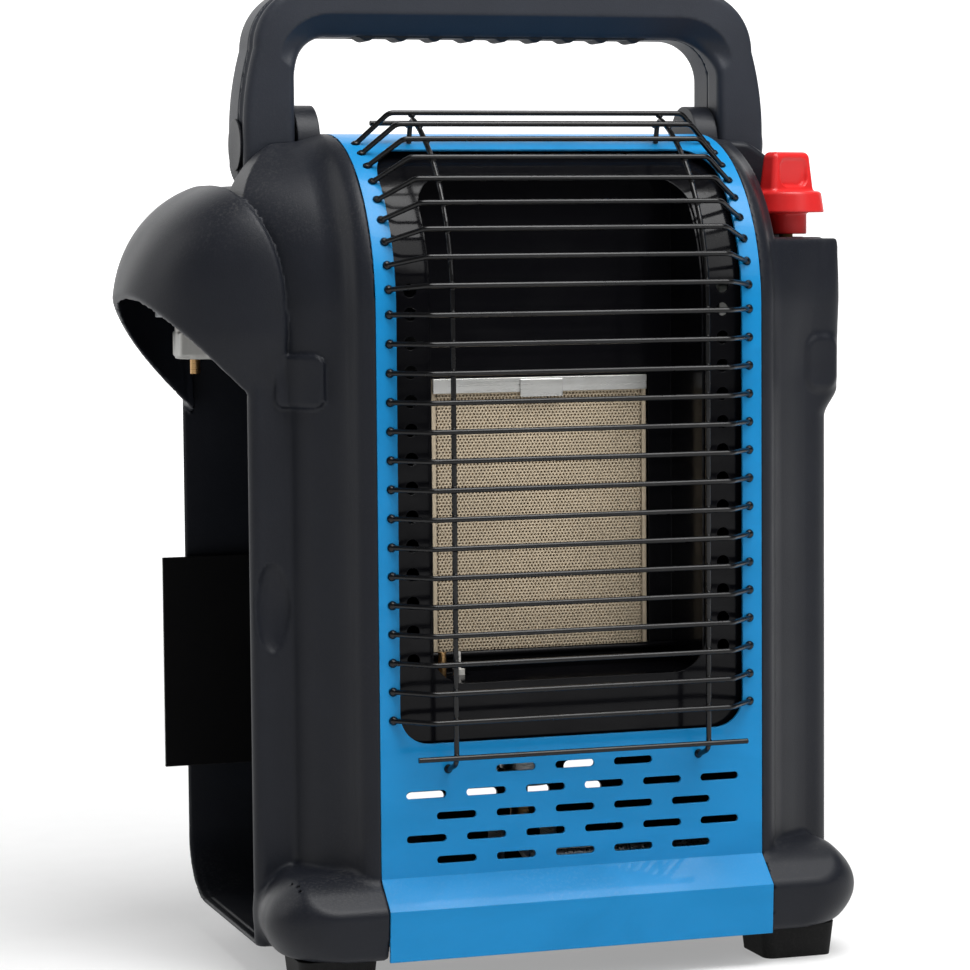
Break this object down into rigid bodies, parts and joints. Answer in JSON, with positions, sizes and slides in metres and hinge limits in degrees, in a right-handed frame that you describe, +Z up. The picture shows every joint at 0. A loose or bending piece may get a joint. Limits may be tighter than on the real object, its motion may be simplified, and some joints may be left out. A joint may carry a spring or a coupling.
{
  "type": "portable propane heater",
  "caption": "Portable radiant propane heater: ceramic burner behind a wire grille in a blue steel front, charcoal side shells, open cylinder bay with swivel regulator, and a folding handle.",
  "frame": {"origin": "middle of the heater's bottom, on the surface it stands on", "axes": "+X to the heater's own view from the front's right, where the control knob is; +Y to the back; +Z up"},
  "size_m": [0.2912, 0.181, 0.3947],
  "materials": {
    "blue_enamel": "gloss",
    "charcoal_plastic": "fine grained matte",
    "black_plastic": "matte",
    "black_steel": "matte",
    "black_enamel": "gloss",
    "black_wire": "semi-gloss",
    "bright_steel": "satin",
    "cast_zinc": "as cast",
    "aluminium_tube": "drawn",
    "brass": "turned",
    "ceramic_tile": "porous matte",
    "white_ceramic": "matte",
    "gasket_fibre": "fibrous",
    "rubber": "matte",
    "soft_grip": "matte",
    "red_plastic": "semi-gloss"
  },
  "bodies": {
    "housing": {"front_panel": "blue_enamel", "left_side_shell": "charcoal_plastic", "right_side_shell": "charcoal_plastic", "regulator_hood": "charcoal_plastic", "rear_cover": "charcoal_plastic", "base_pan": "black_steel", "rubber_feet": "rubber", "grille_front_bars": "black_wire", "grille_top_bars": "black_wire", "grille_uprights": "black_wire", "grille_straight_wires": "black_wire", "firebox_frame": "black_enamel", "reflector": "black_enamel", "firebox_apron": "black_enamel", "top_heat_shield": "bright_steel", "burner_tile": "ceramic_tile", "tile_gasket": "gasket_fibre", "burner_plenum": "bright_steel", "venturi_tube": "bright_steel", "gas_orifice": "brass", "orifice_bracket": "bright_steel", "tile_retainer": "bright_steel", "bay_liner": "black_steel", "cylinder_bracket": "black_steel", "left_handle_lug": "charcoal_plastic", "right_handle_lug": "charcoal_plastic", "handle_pivot_pins": "bright_steel", "gas_valve": "cast_zinc", "piezo_igniter": "black_plastic", "valve_bracket": "bright_steel", "swivel_union": "brass", "swivel_mount": "black_plastic", "supply_tube": "bright_steel", "burner_tube": "aluminium_tube", "pilot_tube": "aluminium_tube", "pilot_burner": "brass", "thermocouple": "brass", "spark_electrode": "white_ceramic", "pilot_bracket": "bright_steel", "tip_over_switch": "black_plastic", "rear_cover_screws": "bright_steel", "base_screws": "bright_steel"},
    "handle": {"handle_front_shell": "charcoal_plastic", "handle_rear_shell": "charcoal_plastic", "handle_grip": "soft_grip", "handle_pivot_caps": "charcoal_plastic", "handle_screws": "bright_steel"},
    "valve_stem": {"valve_stem": "brass"},
    "knob": {"control_knob": "red_plastic"},
    "regulator": {"regulator_body": "cast_zinc", "regulator_nut": "bright_steel", "inlet_seal": "rubber", "depressor_pin": "brass", "regulator_vent_cap": "black_plastic", "bleed_nipple": "brass"}
  },
  "joints": [
    {"name": "handle_fold", "type": "hinge", "parent": "housing", "child": "handle", "pos_m": [0, 0.01175, 0.331], "axis": [-1, 0, 0], "range_deg": [0, 65]},
    {"name": "knob_turn", "type": "hinge", "parent": "housing", "child": "valve_stem", "pos_m": [0.12792, -0.02825, 0.3], "axis": [0, 0, 1], "range_deg": [0, 200]},
    {"name": "knob_push", "type": "slide", "parent": "valve_stem", "child": "knob", "axis": [0, 0, -1], "range_m": [0, 0.004], "stiffness_N_per_m": 600, "springref_m": -0.002},
    {"name": "regulator_swing", "type": "hinge", "parent": "housing", "child": "regulator", "pos_m": [-0.10759, 0.01375, 0.278], "axis": [0, 1, 0], "range_deg": [0, 40]}
  ]
}
